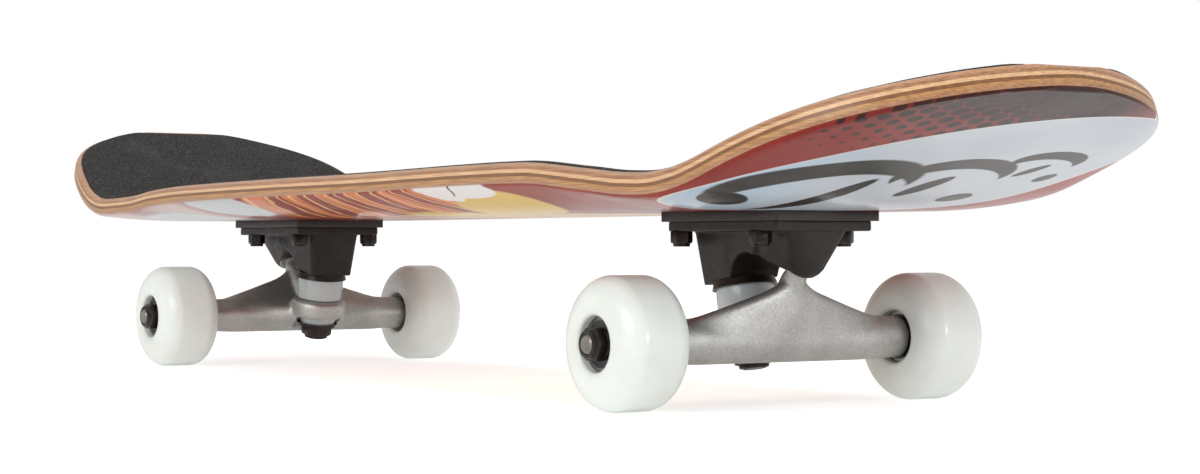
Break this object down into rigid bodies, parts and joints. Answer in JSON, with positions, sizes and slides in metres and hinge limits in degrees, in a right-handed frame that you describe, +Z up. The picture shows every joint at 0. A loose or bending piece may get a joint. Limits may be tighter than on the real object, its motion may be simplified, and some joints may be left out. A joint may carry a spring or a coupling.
{
  "type": "skateboard",
  "caption": "Street skateboard: concave plywood deck with two kicks and grip tape, on sprung trucks with risers, bushings and ball-bearing urethane wheels.",
  "frame": {"origin": "on the ground plane, under the middle of the board's length and width", "axes": "+X from the nose to the tail, along the board; +Y across it; +Z up, out of the deck"},
  "size_m": [0.7794, 0.187, 0.1335],
  "materials": {
    "grip": "coarse silicon carbide grit",
    "maple_top": "clear lacquered ply edge",
    "maple_cream": "clear lacquered ply edge",
    "maple_amber": "clear lacquered ply edge",
    "maple_tan": "clear lacquered ply edge",
    "maple_gold": "clear lacquered ply edge",
    "painted_ply": "gloss printed lacquer",
    "riser_plastic": "satin",
    "black_casting": "black powder coat",
    "nylon": "moulded",
    "black_steel": "black oxide",
    "bushing_urethane": "translucent white",
    "cast_hanger": "tumbled sand casting",
    "axle_steel": "zinc plated",
    "bearing_steel": "ground",
    "shield_black": "dark",
    "wheel_urethane": "satin white, faintly translucent"
  },
  "bodies": {
    "board": {"grip_tape": "grip", "ply_7": "maple_top", "ply_6": "maple_tan", "ply_5": "maple_cream", "ply_4": "maple_amber", "ply_3": "maple_gold", "ply_2": "maple_tan", "ply_1": "painted_ply", "front_riser_pad": "riser_plastic", "front_baseplate": "black_casting", "front_pivot_cup": "nylon", "front_kingpin": "black_steel", "front_kingpin_nut": "black_steel", "front_boardside_bushing": "bushing_urethane", "front_roadside_bushing": "bushing_urethane", "front_cup_washers": "black_steel", "front_truck_bolts": "black_steel", "front_truck_nuts": "black_steel", "rear_riser_pad": "riser_plastic", "rear_baseplate": "black_casting", "rear_pivot_cup": "nylon", "rear_kingpin": "black_steel", "rear_kingpin_nut": "black_steel", "rear_boardside_bushing": "bushing_urethane", "rear_roadside_bushing": "bushing_urethane", "rear_cup_washers": "black_steel", "rear_truck_bolts": "black_steel", "rear_truck_nuts": "black_steel"},
    "front_hanger_assembly": {"front_hanger": "cast_hanger", "front_axle": "axle_steel", "front_axle_nuts": "black_steel", "front_speed_washers": "axle_steel", "front_bearing_inner_rings": "bearing_steel", "front_bearing_spacers": "axle_steel"},
    "front_left_wheel_assembly": {"front_left_wheel": "wheel_urethane", "front_left_outer_rings": "bearing_steel", "front_left_shields": "shield_black"},
    "front_left_ball_sets": {"front_left_balls": "bearing_steel", "front_left_cages": "nylon"},
    "front_right_wheel_assembly": {"front_right_wheel": "wheel_urethane", "front_right_outer_rings": "bearing_steel", "front_right_shields": "shield_black"},
    "front_right_ball_sets": {"front_right_balls": "bearing_steel", "front_right_cages": "nylon"},
    "rear_hanger_assembly": {"rear_hanger": "cast_hanger", "rear_axle": "axle_steel", "rear_axle_nuts": "black_steel", "rear_speed_washers": "axle_steel", "rear_bearing_inner_rings": "bearing_steel", "rear_bearing_spacers": "axle_steel"},
    "rear_left_wheel_assembly": {"rear_left_wheel": "wheel_urethane", "rear_left_outer_rings": "bearing_steel", "rear_left_shields": "shield_black"},
    "rear_left_ball_sets": {"rear_left_balls": "bearing_steel", "rear_left_cages": "nylon"},
    "rear_right_wheel_assembly": {"rear_right_wheel": "wheel_urethane", "rear_right_outer_rings": "bearing_steel", "rear_right_shields": "shield_black"},
    "rear_right_ball_sets": {"rear_right_balls": "bearing_steel", "rear_right_cages": "nylon"}
  },
  "joints": [
    {"name": "front_steer", "type": "hinge", "parent": "board", "child": "front_hanger_assembly", "pos_m": [-0.22622, 0, 0.0575], "axis": [-0.8091, 0, 0.5877], "range_deg": [-12, 12], "stiffness_Nm_per_rad": 80, "deforming": ["front_boardside_bushing", "front_roadside_bushing"]},
    {"name": "front_left_spin", "type": "hinge", "parent": "front_hanger_assembly", "child": "front_left_wheel_assembly", "pos_m": [-0.21332, -0.0743, 0.0265], "axis": [0, 1, 0], "continuous": true},
    {"name": "front_left_ball_orbit", "type": "hinge", "parent": "front_hanger_assembly", "child": "front_left_ball_sets", "pos_m": [-0.21332, -0.0743, 0.0265], "axis": [0, 1, 0], "continuous": true},
    {"name": "front_right_spin", "type": "hinge", "parent": "front_hanger_assembly", "child": "front_right_wheel_assembly", "pos_m": [-0.21332, 0.0743, 0.0265], "axis": [0, 1, 0], "continuous": true},
    {"name": "front_right_ball_orbit", "type": "hinge", "parent": "front_hanger_assembly", "child": "front_right_ball_sets", "pos_m": [-0.21332, 0.0743, 0.0265], "axis": [0, 1, 0], "continuous": true},
    {"name": "rear_steer", "type": "hinge", "parent": "board", "child": "rear_hanger_assembly", "pos_m": [0.23438, 0, 0.0575], "axis": [0.8091, 0, 0.5877], "range_deg": [-12, 12], "stiffness_Nm_per_rad": 80, "deforming": ["rear_boardside_bushing", "rear_roadside_bushing"]},
    {"name": "rear_left_spin", "type": "hinge", "parent": "rear_hanger_assembly", "child": "rear_left_wheel_assembly", "pos_m": [0.22148, -0.0743, 0.0265], "axis": [0, 1, 0], "continuous": true},
    {"name": "rear_left_ball_orbit", "type": "hinge", "parent": "rear_hanger_assembly", "child": "rear_left_ball_sets", "pos_m": [0.22148, -0.0743, 0.0265], "axis": [0, 1, 0], "continuous": true},
    {"name": "rear_right_spin", "type": "hinge", "parent": "rear_hanger_assembly", "child": "rear_right_wheel_assembly", "pos_m": [0.22148, 0.0743, 0.0265], "axis": [0, 1, 0], "continuous": true},
    {"name": "rear_right_ball_orbit", "type": "hinge", "parent": "rear_hanger_assembly", "child": "rear_right_ball_sets", "pos_m": [0.22148, 0.0743, 0.0265], "axis": [0, 1, 0], "continuous": true}
  ],
  "couplings": [
    {"joint": "front_left_ball_orbit", "follows": "front_left_spin", "ratio": 0.6323},
    {"joint": "front_right_ball_orbit", "follows": "front_right_spin", "ratio": 0.6323},
    {"joint": "rear_left_ball_orbit", "follows": "rear_left_spin", "ratio": 0.6323},
    {"joint": "rear_right_ball_orbit", "follows": "rear_right_spin", "ratio": 0.6323}
  ]
}
